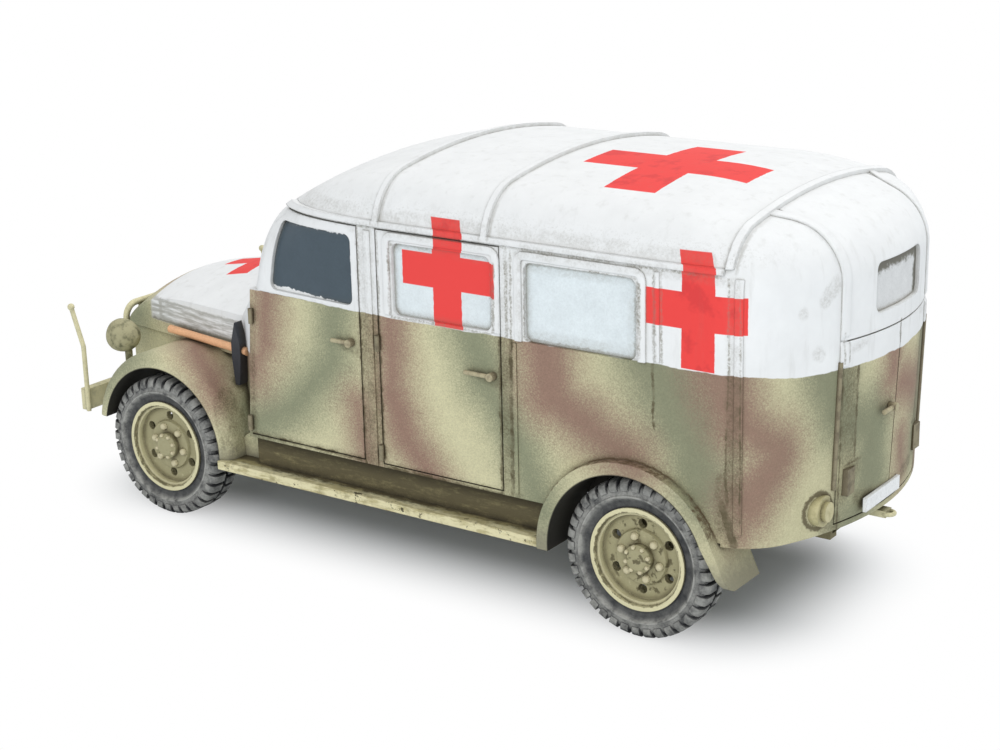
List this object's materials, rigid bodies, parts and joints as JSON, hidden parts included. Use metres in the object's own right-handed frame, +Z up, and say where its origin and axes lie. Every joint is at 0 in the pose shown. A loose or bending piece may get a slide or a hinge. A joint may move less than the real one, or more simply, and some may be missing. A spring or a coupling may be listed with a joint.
{
  "type": "scale model military ambulance truck",
  "caption": "Small painted scale model of a light military ambulance truck, with a hollow van body, separate doors and windows, an open underside and wheels that roll.",
  "frame": {"origin": "on the ground under the middle of the overall length and width", "axes": "+X towards the front bumper, +Y to the vehicle's left, +Z up"},
  "size_m": [0.0699, 0.0284, 0.032],
  "materials": {
    "camouflage": "flat paint, sand with olive and red-brown bands",
    "white_paint": "flat white paint with grey wash",
    "sand_paint": "flat sand paint",
    "cab_glass": "dark blue-grey paint that stands for glass, satin",
    "frosted_glass": "pale blue-grey paint that stands for frosted glass",
    "tyre_black": "flat black with dusty grey dry brushing",
    "chassis": "flat dark sand with grime",
    "dark_recess": "flat, dark wash",
    "gunmetal": "satin gunmetal paint",
    "tool_wood": "flat tan paint that stands for wood",
    "plate_white": "flat white paint, blank"
  },
  "bodies": {
    "vehicle": {"body_shell": "camouflage", "brush_guard": "sand_paint", "cab_door_left": "camouflage", "cab_door_right": "camouflage", "cab_front": "camouflage", "cab_window_left": "cab_glass", "cab_window_right": "cab_glass", "cowl": "camouflage", "door_handles": "camouflage", "door_hinges": "camouflage", "drive_shafts": "chassis", "engine_bay": "camouflage", "engine_sump": "chassis", "exhaust": "chassis", "floor": "chassis", "frame_crossmembers": "chassis", "frame_rail_left": "chassis", "frame_rail_right": "chassis", "front_axle": "chassis", "front_bumper": "sand_paint", "front_fender_left": "camouflage", "front_fender_right": "camouflage", "fuel_tank": "chassis", "gearbox": "chassis", "grille": "dark_recess", "headlights": "sand_paint", "hood": "white_paint", "leaf_springs": "chassis", "load_window_left": "frosted_glass", "load_window_right": "frosted_glass", "number_plate": "plate_white", "pickaxe_handle": "tool_wood", "pickaxe_head": "gunmetal", "rear_axle": "chassis", "rear_door_left": "camouflage", "rear_door_right": "camouflage", "rear_flap": "white_paint", "rear_mudguard_left": "camouflage", "rear_mudguard_right": "camouflage", "rear_window": "frosted_glass", "roof": "white_paint", "roof_trim": "white_paint", "running_board_left": "sand_paint", "running_board_right": "sand_paint", "side_door_left": "camouflage", "side_door_right": "camouflage", "side_window_left": "frosted_glass", "side_window_right": "frosted_glass", "tail_lamp": "camouflage", "tow_hook": "sand_paint", "width_rods": "sand_paint", "windscreen": "cab_glass"},
    "wheel_front_left": {"tyre_front_left": "tyre_black", "rim_front_left": "sand_paint"},
    "wheel_front_right": {"tyre_front_right": "tyre_black", "rim_front_right": "sand_paint"},
    "wheel_rear_left": {"tyre_rear_left": "tyre_black", "rim_rear_left": "sand_paint"},
    "wheel_rear_right": {"tyre_rear_right": "tyre_black", "rim_rear_right": "sand_paint"}
  },
  "joints": [
    {"name": "wheel_front_left_spin", "type": "hinge", "parent": "vehicle", "child": "wheel_front_left", "pos_m": [0.0238, 0.0117, 0.00585], "axis": [0, 1, 0], "continuous": true},
    {"name": "wheel_front_right_spin", "type": "hinge", "parent": "vehicle", "child": "wheel_front_right", "pos_m": [0.0238, -0.0117, 0.00585], "axis": [0, 1, 0], "continuous": true},
    {"name": "wheel_rear_left_spin", "type": "hinge", "parent": "vehicle", "child": "wheel_rear_left", "pos_m": [-0.0213, 0.0117, 0.00585], "axis": [0, 1, 0], "continuous": true},
    {"name": "wheel_rear_right_spin", "type": "hinge", "parent": "vehicle", "child": "wheel_rear_right", "pos_m": [-0.0213, -0.0117, 0.00585], "axis": [0, 1, 0], "continuous": true}
  ]
}
